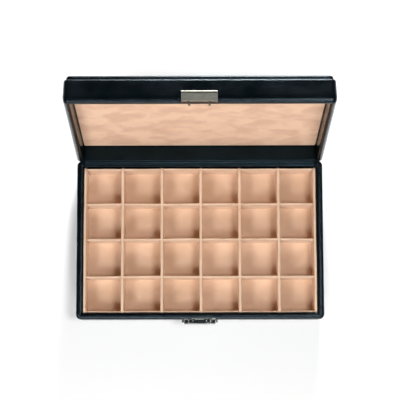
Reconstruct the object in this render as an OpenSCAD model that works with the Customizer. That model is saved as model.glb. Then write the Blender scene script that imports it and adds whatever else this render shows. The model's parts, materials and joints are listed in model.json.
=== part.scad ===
// Coin display case: a leather-covered box with a padded, hinged lid, a velour tray of
// 24 square compartments and a snap lock that opens when its two end buttons are pressed.
// Millimetres. The origin is the centre of the underside of the base, +Z up, +X to the right
// and +Y to the hinges. The lid is drawn standing open.

/* [Case] */
// Width over the leather
case_w = 280; // [220:1:340]
// Depth over the leather
case_d = 180; // [150:1:220]
// Height of the base, underside to rim
base_h = 40; // [34:0.5:60]
// Height of the lid's walls
lid_h = 27; // [24:0.5:40]
// Radius of the upright corners
corner_r = 5; // [3.5:0.5:6]
// Gap between the two rims when the lid is shut
parting_gap = 0.4; // [0.3:0.05:0.8]
// How far the lid stands open
open_angle = 100; // [90:1:100]

/* [Walls] */
// Thickness of the covering leather
leather_t = 1.2; // [0.8:0.1:1.5]
// Thickness of the wall boards
board_t = 4; // [3.6:0.2:6]
// Thickness of the bottom board and the lid's top board
panel_t = 4; // [3:0.5:5]
// Radius of the rims' outer edges
rim_r = 1.5; // [1:0.1:1.6]
// Radius of the rims' inner edges
fold_r = 1; // [0.5:0.1:1]
// How far the leather turns down inside the base
turn_down = 12; // [8:1:20]
// How far the leather turns in under the base
turn_in = 8; // [6:1:20]
// Gap round the sheet under the base
sheet_gap = 0.3; // [0.2:0.1:1]

/* [Lid padding] */
// Depth from the lid's rim to the velour pad
lid_hollow = 16.9; // [14:0.1:20]
// Gap round the velour pad
pad_gap = 0.9; // [0.5:0.1:2]
// Thickness of the card behind the velour pad
pad_card_t = 1; // [0.8:0.1:1.4]
// How much the velour pad is crowned
pad_crown = 0.8; // [0.3:0.1:1.2]
// How far the padded top stands in from the walls
top_inset = 2.6; // [2.6:0.2:5]
// Height of the padded top at its edge
top_edge_h = 5.2; // [3.8:0.1:6]
// How much the padded top is crowned
top_crown = 1.2; // [0.5:0.1:3]
// Distance over which the padded top rises
top_run = 40; // [20:5:55]

/* [Tray] */
// Compartments from left to right
columns = 6; // [4:1:7]
// Compartments from front to back
rows = 4; // [3:1:5]
// How far the dividers end below the rim
tray_drop = 2; // [1:0.5:6]
// Gap at each side of the tray
tray_side_gap = 0.6; // [0.2:0.1:1]
// Gap in front of the tray
tray_front_gap = 0.3; // [0.2:0.1:1]
// Gap behind the tray, which takes the hinge strip's turned-down edge
tray_back_gap = 1.4; // [1.3:0.1:2]
// Thickness of the tray's floor
tray_floor_t = 2; // [1:0.5:3]
// Thickness of the side liners
side_liner_t = 2.8; // [2:0.1:4]
// Thickness of the front and back liners
end_liner_t = 2; // [1.5:0.1:3]
// Thickness of the dividers that run front to back
column_t = 3.2; // [2:0.1:4]
// Thickness of the dividers that run left to right
row_t = 2.4; // [1.6:0.1:3]
// How far the cross dividers end below the long ones
row_drop = 0.5; // [0:0.1:1]
// Clearance in the notches where dividers cross
notch_gap = 0.1; // [0.05:0.05:0.3]

/* [Hinges] */
// Distance of the hinge axis from the back face
hinge_inset = 0.9; // [0.85:0.05:1]
// Distance from the back face to the edge of the strip that hides the hinges
strip_inset = 2; // [2:0.1:2.2]
// Length of each hinge
hinge_len = 45; // [30:1:60]
// Distance from the end of the case to each hinge
hinge_end = 32.5; // [25:0.5:45]
// Thickness of the hinge leaves
leaf_t = 0.6; // [0.5:0.05:0.7]
// Radius of the knuckles
knuckle_r = 1; // [0.95:0.05:1.05]
// Radius of the hinge pins
pin_r = 0.5; // [0.4:0.02:0.54]
// Running clearance round a pin
pin_gap = 0.05; // [0.03:0.01:0.08]
// Gap between two knuckles
knuckle_gap = 0.2; // [0.1:0.05:0.4]
// Radius of the hinge screws
screw_r = 0.8; // [0.6:0.05:0.9]
// Length of the hinge screws
screw_len = 7; // [4:0.5:10]
// Radius of all the rivets
rivet_r = 0.8; // [0.5:0.05:1]
// Radius of the rivets' heads
rivet_head_r = 1.8; // [1.2:0.1:2]
// Thickness of the rivets' heads
rivet_head_t = 0.6; // [0.4:0.1:1]

/* [Lock] */
// Middle of the lock, left or right of the case's middle
lock_x = -0.5; // [-2:0.1:2]
// Width of the lock case
lock_w = 36; // [34:0.5:44]
// How far the lock case stands out
lock_depth = 6; // [5.8:0.1:7]
// Height of the lock case
lock_h = 15; // [14:0.5:18]
// Distance from the rim down to the lock case
lock_drop = 0.8; // [0.6:0.1:2]
// Thickness of the lock's sheet metal
sheet_t = 0.8; // [0.6:0.05:0.9]
// Half the distance between the hooks
hook_x = 10.6; // [9.5:0.1:12]
// Width of a hook
hook_w = 1.6; // [1.2:0.1:1.8]
// How far a hook's barb stands out
barb = 1.1; // [0.8:0.1:1.2]
// How far the hooks reach below the lid's rim
hook_drop = 4; // [4:0.1:4.6]
// Width of the lips of the two holes for the hooks
eye_rim = 0.8; // [0.4:0.1:0.9]
// Travel of a button
latch_travel = 2; // [1.9:0.1:2.2]
// How far a button stands out at rest
button_out = 2.5; // [2.4:0.1:3]
// Width of the plate on the lid
plate_w = 37.4; // [36:0.2:44]
// Height of the plate on the lid
plate_h = 12.5; // [11:0.5:16]
// Distance from the lid's rim up to the plate
plate_rise = 0.9; // [0.6:0.1:2]

/* [Hidden] */
$fn = 48;
// Small overlap that lets a cut run past a face
past = 1;

wall_t = board_t + 2 * leather_t;
in_w = case_w - 2 * wall_t;
in_d = case_d - 2 * wall_t;
board_w = case_w - 2 * leather_t;
board_d = case_d - 2 * leather_t;
board_top = base_h - leather_t;
floor_z = leather_t + panel_t;

hinge_x = case_w / 2 - hinge_end - hinge_len / 2;
hinge_y = case_d / 2 - hinge_inset;
hinge_z = base_h + parting_gap / 2;
lid_z = base_h + parting_gap;
lid_board_z = lid_z + leather_t;
lid_top = lid_z + lid_h;
top_board_z = lid_top - leather_t - panel_t;
pad_z = lid_z + lid_hollow;

strip_back = case_d / 2 - strip_inset;
// The strip reaches further down inside the back wall than the leather does elsewhere
strip_drop = turn_down + 2;

tray_w = in_w - 2 * tray_side_gap;
tray_front = -in_d / 2 + tray_front_gap;
tray_back = in_d / 2 - tray_back_gap;
tray_d = tray_back - tray_front;
wall_z = floor_z + tray_floor_t;
divider_top = base_h - tray_drop;
row_top = divider_top - row_drop;
notch_z = (wall_z + divider_top) / 2;
// How far each hand-set divider stands to the right of, or behind, its even place
column_drift = [-0.7, 0.4, 1, 1.6, 2.2];
row_drift = [-1, 0.8, 0.4];

top_w = case_w - 2 * top_inset;
top_d = case_d - 2 * top_inset;
top_r = corner_r - 0.5;
top_edge_r = 2.4;
pad_w = in_w - 2 * pad_gap;
pad_d = in_d - 2 * pad_gap;
pad_r = 2;
pad_t = top_board_z - pad_card_t - pad_z;
pad_edge_r = 1.6;
pad_edge_rise = 0.7;
pad_run = 30;

// Clearance round the hinges in the leather and the boards
hinge_room = 0.15;
// Room between a screw or a rivet and its hole
hole_gap = 0.05;
// How far a leaf stays back from the board's inner face
leaf_margin = 0.2;
leaf_front = board_d / 2 - board_t + leaf_margin;
screw_y = board_d / 2 - board_t / 2 - leaf_margin;
// How far the web that joins a leaf to its knuckles lies inside the knuckles' outline
web_margin = 0.05;
web_y = hinge_y - knuckle_r + web_margin;
screw_point = 1;
slot_w = 0.4;
slot_depth = 0.3;

// Clearance between the lock's moving pieces
lock_gap = 0.3;
lock_plate_t = 0.6;
lock_front = -case_d / 2 - lock_depth;
lock_back = -case_d / 2 - lock_plate_t;
lock_mid = (lock_front + sheet_t + lock_back) / 2;
lock_top = base_h - lock_drop;
lock_low = lock_top - lock_h;
lock_corner_r = 1.2;
hook_t = 1;
hook_in = hook_x - hook_w / 2;
hook_out = hook_x + hook_w / 2;
hook_low = lid_z - hook_drop;
barb_h = 1;
eye_r = (hook_w + barb) / 2 + 0.7;
eye_x = hook_x - barb / 2;
eye_flange = 0.3;
eye_wall = 0.2;
// Tabs of the lock's back plate, folded over its top plate: from and to, measured from the lock's middle
tab_t = 0.3;
tab_reach = 0.9;
tab_out = lock_w / 2 - sheet_t - lock_gap;
tab_in = max(tab_out - 3.3, eye_x + eye_r + eye_rim + lock_gap);
tab_places = [[-tab_out, -tab_in], [-4.6, -2], [-1.1, 1.1], [2, 4.6], [tab_in, tab_out]];
latch_t = 0.8;
latch_z = hook_low + barb_h + 0.2;
latch_catch = 0.7;
latch_front = lock_front + sheet_t + lock_gap;
latch_back = lock_back - lock_gap;
web_x = lock_w / 2 - sheet_t - lock_gap;
web_t = 1;
button_h = 8;
// How far the buttons stand above the underside of the lock case
button_rise = 4.8;
button_low = lock_low + button_rise;
button_edge_r = 0.8;
// How far the springs lie above the buttons' undersides
spring_rise = 2.6;
spring_z = button_low + spring_rise;
spring_r = 1.2;
wire_r = 0.22;
spring_turns = 8;
block_w = 4;
block_h = 4;
rivet_x = lock_w / 5;
// Distance from the underside of the lock case to its lower rivets, and from its top to the upper ones
rivet_rise = 2.4;
rivet_drop = 3.2;
rivet_z = [lock_low + rivet_rise, lock_top - rivet_drop];

plate_low = lid_z + plate_rise;
plate_top = plate_low + plate_h;
plate_front = lock_mid - hook_t / 2 - sheet_t;
lip_r = 0.9;
lip_drop = 1.5;
strap_edge = 1.5;
hook_rivet_x = hook_x * 0.6;
hook_rivet_z = plate_low + plate_h / 2;
spacer_r = rivet_r + 0.8;

BASE_NODES = ["base_leather_cover", "base_bottom_board", "base_front_board", "base_back_board",
    "base_left_board", "base_right_board", "base_underside_sheet", "hinge_strip_base"];
TRAY_NODES = ["tray_floor", "tray_front_liner", "tray_back_liner", "tray_left_liner", "tray_right_liner"];
LID_NODES = ["lid_leather_cover", "lid_top_board", "lid_front_board", "lid_back_board", "lid_left_board",
    "lid_right_board", "lid_top_foam", "lid_top_leather", "lid_pad_card", "lid_velour_pad",
    "hinge_strip_lid"];
HINGE_NODES = ["hinge_left_base_leaf", "hinge_left_lid_leaf", "hinge_left_pin", "hinge_right_base_leaf",
    "hinge_right_lid_leaf", "hinge_right_pin", "hinge_base_screws", "hinge_lid_screws"];
LOCK_NODES = ["lock_case", "lock_back_plate", "lock_top_plate", "lock_eyelets", "lock_spring_block",
    "lock_rivets", "latch_left", "latch_right", "lock_button_left", "lock_button_right",
    "latch_spring_left", "latch_spring_right", "lid_lock_plate", "lid_hooks", "lid_hook_rivets"];

LEATHER = "#14181c";
BOARD = "#b08a5c";
CARD = "#8f877c";
VELOUR = "#e3b896";
NICKEL = "#b9bab5";
CHROME = "#d5d8da";
STEEL = "#4a4d50";
BRASS = "#b59a5a";
FOAM = "#d8d2c0";

// Helpers

module rounded_rect(w, d, r) {
    square([w - 2 * r, d], center = true);
    square([w, d - 2 * r], center = true);
    for (sx = [-1, 1], sy = [-1, 1]) translate([sx * (w / 2 - r), sy * (d / 2 - r)]) circle(r);
}

module block(x0, x1, y0, y1, z0, z1) {
    translate([x0, y0, z0]) cube([x1 - x0, y1 - y0, z1 - z0]);
}

// Both hands of something drawn on the right
module both_sides() {
    children();
    mirror([1, 0, 0]) children();
}

// Turns the lid, drawn shut, to where it stands open
module standing_open() {
    translate([0, hinge_y, hinge_z]) rotate([-open_angle, 0, 0])
        translate([0, -hinge_y, -hinge_z]) children();
}

// Mirrors what is drawn for the base to the lid's side of the gap between the rims
module over_the_gap() {
    translate([0, 0, 2 * hinge_z]) mirror([0, 0, 1]) children();
}

function arc(x, y, r, from, to, n) =
    [for (i = [0:n]) let (a = from + (to - from) * i / n) [x + r * cos(a), y + r * sin(a)]];

// What a rounded edge leaves of the square corner at the origin, with the solid to the lower left
module edge_waste(r) {
    polygon(concat([[past, past], [-r, past]], arc(-r, -r, r, 90, 0, 6), [[past, -r]]));
}

// Rounds the top outer edge of a w by d slab with upright corners of radius cr and its top at z
module round_outer_edge(w, d, cr, z, r) {
    for (s = [0, 1]) rotate(180 * s) {
        translate([w / 2, d / 2 - cr, z]) rotate([90, 0, 0]) linear_extrude(d - 2 * cr) edge_waste(r);
        translate([w / 2 - cr, -d / 2, z]) rotate([90, 0, -90]) linear_extrude(w - 2 * cr) edge_waste(r);
        for (sy = [0, 1]) mirror([0, sy, 0]) translate([w / 2 - cr, d / 2 - cr, z])
            rotate_extrude(angle = 90) translate([cr, 0]) edge_waste(r);
    }
}

// Rounds the top inner edge of a w by d opening with its top at z
module round_inner_edge(w, d, z, r) {
    for (s = [0, 1]) rotate(180 * s) {
        translate([w / 2, -d / 2, z]) rotate([90, 0, 180]) linear_extrude(d) edge_waste(r);
        translate([w / 2, d / 2, z]) rotate([90, 0, -90]) linear_extrude(w) edge_waste(r);
    }
}

// Points round a rounded outline that is drawn in by inset and raised to z
function outline_ring(w, d, r, inset, z) =
    let (hw = w / 2 - inset, hd = d / 2 - inset, q = max(r - inset, r / 3), n = 4)
    [for (c = [0:3]) let (sx = c == 0 || c == 3 ? 1 : -1, sy = c < 2 ? 1 : -1)
        for (i = [0:n]) let (a = 90 * (c + i / n))
            [sx * (hw - q) + q * cos(a), sy * (hd - q) + q * sin(a), z]];

// How far in and how high each ring of a cushion lies, from its foot to its crown. Its shoulder
// takes edge_r inwards and rise upwards.
function cushion(side_h, edge_r, rise, crown, run) =
    concat([[0, 0]],
        [for (i = [0:3]) let (a = 30 * i) [edge_r * (1 - cos(a)), side_h - rise + rise * sin(a)]],
        [for (i = [1:5]) let (t = i / 5)
            [edge_r + (run - edge_r) * t, side_h + crown * (1 - pow(1 - t, 2))]]);

// The same for what lies a thickness t under a cushion's skin
function under(profile, t) =
    let (inner = [for (p = profile) if (p[1] > t) [p[0] + t, p[1] - t]])
    concat([[inner[0][0], 0]], inner);

function rings(w, d, r, profile, z) = [for (p = profile) outline_ring(w, d, r, p[0], p[1] + z)];

function reversed(list) = [for (k = [len(list) - 1:-1:0]) list[k]];

// A closed solid through rings of points, capped at both ends
module skin(loops) {
    n = len(loops[0]);
    m = len(loops);
    polyhedron(
        points = [for (loop = loops) each loop],
        faces = concat(
            [[for (i = [n - 1:-1:0]) i]],
            [for (k = [0:m - 2], i = [0:n - 1]) let (j = (i + 1) % n, a = k * n, b = a + n)
                each [[a + i, a + j, b + j], [a + i, b + j, b + i]]],
            [[for (i = [0:n - 1]) (m - 1) * n + i]]));
}

// Base

module base_leather_cover() {
    color(LEATHER) difference() {
        union() {
            difference() {
                linear_extrude(base_h) rounded_rect(case_w, case_d, corner_r);
                translate([0, 0, leather_t]) linear_extrude(base_h - 2 * leather_t)
                    rounded_rect(board_w, board_d, corner_r - leather_t);
            }
            translate([0, 0, base_h - turn_down]) linear_extrude(turn_down) difference() {
                square([in_w + 2 * leather_t, in_d + 2 * leather_t], center = true);
                square([in_w, in_d], center = true);
            }
        }
        block(-in_w / 2, in_w / 2, -in_d / 2, in_d / 2, board_top - past, base_h + past);
        block(-case_w / 2 + turn_in, case_w / 2 - turn_in, -case_d / 2 + turn_in, case_d / 2 - turn_in,
            -past, leather_t + past);
        // Room for the hinge strip, on the rim and inside the back wall
        block(-in_w / 2, in_w / 2, in_d / 2 - past, strip_back, board_top, base_h + past);
        block(-in_w / 2 - leather_t - past, in_w / 2 + leather_t + past, in_d / 2, in_d / 2 + leather_t,
            base_h - turn_down - past, board_top);
        round_outer_edge(case_w, case_d, corner_r, base_h, rim_r);
        round_inner_edge(in_w, in_d, base_h, fold_r);
        both_sides() knuckle_room();
        lock_wall_holes();
    }
}

module base_boards() {
    translate([0, 0, leather_t]) linear_extrude(board_top - leather_t)
        rounded_rect(board_w, board_d, corner_r - leather_t);
}

module base_bottom_board() {
    color(BOARD) block(-board_w / 2 + board_t, board_w / 2 - board_t, -board_d / 2 + board_t,
        board_d / 2 - board_t, leather_t, floor_z);
}

module base_front_board() {
    color(BOARD) difference() {
        intersection() {
            base_boards();
            block(-board_w, board_w, -board_d / 2 - past, -board_d / 2 + board_t, 0, base_h);
        }
        lock_wall_holes();
    }
}

module base_back_board() {
    color(BOARD) difference() {
        intersection() {
            base_boards();
            block(-board_w, board_w, board_d / 2 - board_t, board_d / 2 + past, 0, base_h);
        }
        both_sides() {
            leaf_seat();
            leaf_screw_places() screw_hole();
        }
    }
}

module base_side_board() {
    block(board_w / 2 - board_t, board_w / 2, -board_d / 2 + board_t, board_d / 2 - board_t,
        leather_t, board_top);
}

module base_left_board() {
    color(BOARD) mirror([1, 0, 0]) base_side_board();
}

module base_right_board() {
    color(BOARD) base_side_board();
}

module base_underside_sheet() {
    color(CARD) block(-case_w / 2 + turn_in + sheet_gap, case_w / 2 - turn_in - sheet_gap,
        -case_d / 2 + turn_in + sheet_gap, case_d / 2 - turn_in - sheet_gap, 0, leather_t);
}

// The leather strip that hides the hinges: its half on the base
module hinge_strip_on_rim(drop) {
    difference() {
        union() {
            block(-in_w / 2, in_w / 2, in_d / 2, strip_back, board_top, base_h);
            block(-in_w / 2, in_w / 2, in_d / 2, in_d / 2 + leather_t, base_h - drop, board_top);
        }
        translate([in_w / 2, in_d / 2, base_h]) rotate([90, 0, -90]) linear_extrude(in_w) edge_waste(fold_r);
    }
}

module hinge_strip_base() {
    color(LEATHER) hinge_strip_on_rim(strip_drop);
}

// Tray

function drift(list, i) = i <= len(list) ? list[i - 1] : 0;

// Middle of column divider i, counted from the left
function column_x(i) =
    let (room = tray_w - 2 * side_liner_t - (columns - 1) * column_t)
    -tray_w / 2 + side_liner_t + i * room / columns + (i - 0.5) * column_t + drift(column_drift, i);

// Middle of row divider i, counted from the front
function row_y(i) =
    let (room = tray_d - 2 * end_liner_t - (rows - 1) * row_t)
    tray_front + end_liner_t + i * room / rows + (i - 0.5) * row_t + drift(row_drift, i);

module tray_floor() {
    color(VELOUR) block(-tray_w / 2, tray_w / 2, tray_front, tray_back, floor_z, wall_z);
}

module tray_side_liner() {
    block(tray_w / 2 - side_liner_t, tray_w / 2, tray_front, tray_back, wall_z, divider_top);
}

module tray_left_liner() {
    color(VELOUR) mirror([1, 0, 0]) tray_side_liner();
}

module tray_right_liner() {
    color(VELOUR) tray_side_liner();
}

// A board from side liner to side liner, notched from above for the column dividers
module cross_board(y0, y1) {
    difference() {
        block(-tray_w / 2 + side_liner_t, tray_w / 2 - side_liner_t, y0, y1, wall_z, row_top);
        for (i = [1:columns - 1])
            block(column_x(i) - column_t / 2 - notch_gap, column_x(i) + column_t / 2 + notch_gap,
                y0 - past, y1 + past, notch_z - notch_gap, divider_top);
    }
}

module tray_front_liner() {
    color(VELOUR) cross_board(tray_front, tray_front + end_liner_t);
}

module tray_back_liner() {
    color(VELOUR) cross_board(tray_back - end_liner_t, tray_back);
}

module row_divider(i) {
    color(VELOUR) cross_board(row_y(i) - row_t / 2, row_y(i) + row_t / 2);
}

// A board from front to back, notched from below for the cross boards
module column_divider(i) {
    color(VELOUR) difference() {
        block(column_x(i) - column_t / 2, column_x(i) + column_t / 2, tray_front, tray_back,
            wall_z, divider_top);
        for (k = [1:rows - 1])
            block(-tray_w, tray_w, row_y(k) - row_t / 2 - notch_gap, row_y(k) + row_t / 2 + notch_gap,
                wall_z - past, notch_z);
        block(-tray_w, tray_w, tray_front - past, tray_front + end_liner_t + notch_gap,
            wall_z - past, notch_z);
        block(-tray_w, tray_w, tray_back - end_liner_t - notch_gap, tray_back + past,
            wall_z - past, notch_z);
    }
}

// Lid

module lid_shell() {
    difference() {
        translate([0, 0, lid_z]) linear_extrude(lid_h) rounded_rect(case_w, case_d, corner_r);
        translate([0, 0, lid_board_z]) linear_extrude(lid_h - 2 * leather_t)
            rounded_rect(board_w, board_d, corner_r - leather_t);
    }
    translate([0, 0, lid_z]) linear_extrude(top_board_z - lid_z) difference() {
        square([in_w + 2 * leather_t, in_d + 2 * leather_t], center = true);
        square([in_w, in_d], center = true);
    }
}

module lid_leather_cover() {
    color(LEATHER) standing_open() difference() {
        lid_shell();
        block(-in_w / 2, in_w / 2, -in_d / 2, in_d / 2, lid_z - past, top_board_z);
        block(-in_w / 2, in_w / 2, in_d / 2 - past, strip_back, lid_z - past, lid_board_z);
        block(-in_w / 2 - leather_t - past, in_w / 2 + leather_t + past, in_d / 2, in_d / 2 + leather_t,
            lid_board_z, top_board_z + past);
        round_outer_edge(case_w, case_d, corner_r, lid_top, rim_r);
        over_the_gap() {
            round_outer_edge(case_w, case_d, corner_r, base_h, rim_r);
            round_inner_edge(in_w, in_d, base_h, fold_r);
            both_sides() knuckle_room();
        }
        lid_wall_holes();
    }
}

module lid_boards() {
    translate([0, 0, lid_board_z]) linear_extrude(top_board_z - lid_board_z)
        rounded_rect(board_w, board_d, corner_r - leather_t);
}

module lid_top_board() {
    color(BOARD) standing_open() translate([0, 0, top_board_z]) linear_extrude(panel_t)
        rounded_rect(board_w, board_d, corner_r - leather_t);
}

module lid_front_board() {
    color(BOARD) standing_open() difference() {
        intersection() {
            lid_boards();
            block(-board_w, board_w, -board_d / 2 - past, -board_d / 2 + board_t, 0, lid_top);
        }
        lid_wall_holes();
    }
}

module lid_back_board() {
    color(BOARD) standing_open() difference() {
        intersection() {
            lid_boards();
            block(-board_w, board_w, board_d / 2 - board_t, board_d / 2 + past, 0, lid_top);
        }
        over_the_gap() both_sides() {
            leaf_seat();
            leaf_screw_places() screw_hole();
        }
    }
}

module lid_side_board() {
    block(board_w / 2 - board_t, board_w / 2, -board_d / 2 + board_t, board_d / 2 - board_t,
        lid_board_z, top_board_z);
}

module lid_left_board() {
    color(BOARD) standing_open() mirror([1, 0, 0]) lid_side_board();
}

module lid_right_board() {
    color(BOARD) standing_open() lid_side_board();
}

top_profile = cushion(top_edge_h, top_edge_r, top_edge_r, top_crown, top_run);
top_rings = rings(top_w, top_d, top_r, top_profile, lid_top);
foam_rings = rings(top_w, top_d, top_r, under(top_profile, leather_t), lid_top);

module lid_top_foam() {
    color(FOAM) standing_open() skin(foam_rings);
}

module lid_top_leather() {
    color(LEATHER) standing_open() skin(concat(reversed(foam_rings), top_rings));
}

module lid_pad_card() {
    color(CARD) standing_open() block(-pad_w / 2 + leather_t, pad_w / 2 - leather_t,
        -pad_d / 2 + leather_t, pad_d / 2 - leather_t, top_board_z - pad_card_t, top_board_z);
}

module lid_velour_pad() {
    color(VELOUR) standing_open() translate([0, 0, top_board_z - pad_card_t]) mirror([0, 0, 1])
        skin(rings(pad_w, pad_d, pad_r,
            cushion(pad_t - pad_crown, pad_edge_r, pad_edge_rise, pad_crown, pad_run), 0));
}

module hinge_strip_lid() {
    color(LEATHER) standing_open() over_the_gap() hinge_strip_on_rim(top_board_z - lid_z);
}

// Hinges, drawn at the right-hand place with the leaf on the base

hinge_left = hinge_x - hinge_len / 2;
hinge_right = hinge_x + hinge_len / 2;

// A rod along the hinge axis
module axis_rod(x0, x1, r) {
    translate([x0, hinge_y, hinge_z]) rotate([0, 90, 0]) cylinder(h = x1 - x0, r = r);
}

// Room in the leather for the knuckles and the bent-up edge of the leaf
module knuckle_room() {
    x0 = hinge_left - hinge_room;
    x1 = hinge_right + hinge_room;
    axis_rod(x0, x1, knuckle_r + hinge_room);
    block(x0, x1, strip_back, hinge_y, board_top - leaf_t, base_h + past);
}

module leaf_seat() {
    block(hinge_left - hinge_room, hinge_right + hinge_room, board_d / 2 - board_t - past,
        board_d / 2 + past, board_top - leaf_t, board_top + past);
}

module leaf_screw_places() {
    for (s = [-1, 1]) translate([hinge_x + s * hinge_len / 3, screw_y, board_top]) children();
}

module screw_hole() {
    translate([0, 0, -screw_len - hole_gap]) cylinder(h = screw_len + past, r = screw_r + hole_gap);
}

// Knuckles 0, 1 and 2 from left to right: the outer two are on the base, the middle one on the lid
module knuckle(k) {
    x0 = hinge_left + k * hinge_len / 3 + (k == 0 ? 0 : knuckle_gap / 2);
    x1 = hinge_left + (k + 1) * hinge_len / 3 - (k == 2 ? 0 : knuckle_gap / 2);
    axis_rod(x0, x1, knuckle_r);
    block(x0, x1, web_y, web_y + leaf_t, board_top - leaf_t, hinge_z);
}

module leaf(knuckles) {
    sink_r = screw_r + hole_gap;
    difference() {
        union() {
            block(hinge_left, hinge_right, leaf_front, web_y + leaf_t, board_top - leaf_t, board_top);
            for (k = knuckles) knuckle(k);
        }
        axis_rod(hinge_left - past, hinge_right + past, pin_r + pin_gap);
        leaf_screw_places() {
            screw_hole();
            translate([0, 0, -leaf_t]) cylinder(h = leaf_t, r1 = sink_r, r2 = sink_r + leaf_t);
        }
    }
}

module screw() {
    translate([0, 0, -screw_len]) cylinder(h = screw_point, r1 = 0.1, r2 = screw_r);
    translate([0, 0, -screw_len + screw_point]) cylinder(h = screw_len - screw_point - leaf_t, r = screw_r);
    difference() {
        translate([0, 0, -leaf_t]) cylinder(h = leaf_t, r1 = screw_r, r2 = screw_r + leaf_t);
        block(-slot_w / 2, slot_w / 2, -past * 2, past * 2, -slot_depth, past);
    }
}

module hinge_left_base_leaf() {
    color(BRASS) mirror([1, 0, 0]) leaf([0, 2]);
}

module hinge_right_base_leaf() {
    color(BRASS) leaf([0, 2]);
}

module hinge_left_lid_leaf() {
    color(BRASS) standing_open() over_the_gap() mirror([1, 0, 0]) leaf([1]);
}

module hinge_right_lid_leaf() {
    color(BRASS) standing_open() over_the_gap() leaf([1]);
}

module hinge_left_pin() {
    color(NICKEL) mirror([1, 0, 0]) axis_rod(hinge_left, hinge_right, pin_r);
}

module hinge_right_pin() {
    color(NICKEL) axis_rod(hinge_left, hinge_right, pin_r);
}

module hinge_base_screws() {
    color(BRASS) both_sides() leaf_screw_places() screw();
}

module hinge_lid_screws() {
    color(BRASS) standing_open() over_the_gap() both_sides() leaf_screw_places() screw();
}

// Lock on the base, drawn about its own middle

module at_lock() {
    translate([lock_x, 0, 0]) children();
}

module rivet_places() {
    for (x = [-rivet_x, rivet_x], z = rivet_z) translate([x, -case_d / 2, z]) rotate([-90, 0, 0]) children();
}

module lid_rivet_places() {
    for (x = [-hook_rivet_x, hook_rivet_x]) translate([x, -case_d / 2, hook_rivet_z])
        rotate([-90, 0, 0]) children();
}

// A rivet from a height out in front of the wall to a head sunk in the wall's inner face
module rivet(out, room) {
    seat = leather_t + board_t - rivet_head_t;
    translate([0, 0, -out]) cylinder(h = out + seat + room, r = rivet_r + room);
    translate([0, 0, seat]) cylinder(h = rivet_head_t + room, r = rivet_head_r + room);
}

module lock_wall_holes() {
    at_lock() rivet_places() rivet(past, hole_gap);
}

module lid_wall_holes() {
    at_lock() lid_rivet_places() rivet(past, hole_gap);
}

module lock_rivets() {
    color(STEEL) at_lock() rivet_places() rivet(lock_plate_t, 0);
}

module lock_back_plate() {
    color(NICKEL) at_lock() {
        difference() {
            block(-lock_w / 2 + sheet_t, lock_w / 2 - sheet_t, lock_back, -case_d / 2,
                lock_low + sheet_t, lock_top);
            rivet_places() rivet(past, hole_gap);
        }
        for (t = tab_places) {
            block(t[0], t[1], lock_back, -case_d / 2, lock_top - tab_t, lock_top + tab_t);
            block(t[0], t[1], lock_back - tab_reach, -case_d / 2, lock_top, lock_top + tab_t);
        }
    }
}

module lock_case() {
    r = lock_corner_r;
    color(CHROME) at_lock() difference() {
        translate([0, 0, lock_low]) linear_extrude(lock_h) {
            translate([-lock_w / 2, lock_front + r]) square([lock_w, lock_depth - r]);
            translate([-lock_w / 2 + r, lock_front]) square([lock_w - 2 * r, r]);
            for (s = [-1, 1]) translate([s * (lock_w / 2 - r), lock_front + r]) circle(r);
        }
        block(-lock_w / 2 + sheet_t, lock_w / 2 - sheet_t, lock_front + sheet_t, past - case_d / 2,
            lock_low + sheet_t, lock_top + past);
        block(-lock_w, lock_w, latch_front - lock_gap / 2, latch_back + lock_gap / 2,
            button_low - lock_gap, button_low + button_h + lock_gap);
    }
}

module eye_places() {
    at_lock() both_sides() translate([eye_x, lock_mid, lock_top]) children();
}

module lock_top_plate() {
    color(STEEL) difference() {
        at_lock() block(-lock_w / 2 + sheet_t, lock_w / 2 - sheet_t, lock_front + sheet_t, lock_back,
            lock_top - lock_plate_t, lock_top);
        eye_places() cylinder(h = 2 * lock_plate_t + past, r = eye_r + eye_wall, center = true);
    }
}

module lock_eyelets() {
    color(NICKEL) eye_places() difference() {
        union() {
            translate([0, 0, -lock_plate_t]) cylinder(h = lock_plate_t + eye_flange, r = eye_r + eye_wall);
            cylinder(h = eye_flange, r = eye_r + eye_rim);
        }
        cylinder(h = 2 * lock_plate_t + past, r = eye_r, center = true);
    }
}

// A latch, drawn on the right: its plate has a window for the hook, whose inner edge holds the barb
module latch() {
    window_in = hook_in - barb + latch_catch;
    window_out = hook_out + latch_travel + lock_gap;
    window_edge = hook_t / 2 + 2 * lock_gap;
    difference() {
        union() {
            block(window_in - latch_travel, web_x, latch_front, latch_back, latch_z, latch_z + latch_t);
            block(web_x - web_t, web_x, latch_front, latch_back, button_low, latch_z + latch_t);
        }
        block(window_in, window_out, lock_mid - window_edge, lock_mid + window_edge,
            latch_z - past, latch_z + latch_t + past);
    }
}

module latch_left() {
    color(STEEL) at_lock() mirror([1, 0, 0]) latch();
}

module latch_right() {
    color(STEEL) at_lock() latch();
}

module lock_button() {
    r = button_edge_r;
    w = lock_w / 2 + button_out - web_x;
    translate([web_x, 0, button_low]) linear_extrude(button_h) {
        translate([0, latch_front]) square([w - r, latch_back - latch_front]);
        translate([0, latch_front + r]) square([w, latch_back - latch_front - 2 * r]);
        for (y = [latch_front + r, latch_back - r]) translate([w - r, y]) circle(r);
    }
}

module lock_button_left() {
    color(CHROME) at_lock() mirror([1, 0, 0]) lock_button();
}

module lock_button_right() {
    color(CHROME) at_lock() lock_button();
}

module lock_spring_block() {
    color(STEEL) at_lock() block(-block_w / 2, block_w / 2, lock_mid - spring_r, lock_back,
        spring_z - block_h / 2, spring_z + block_h / 2);
}

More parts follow.
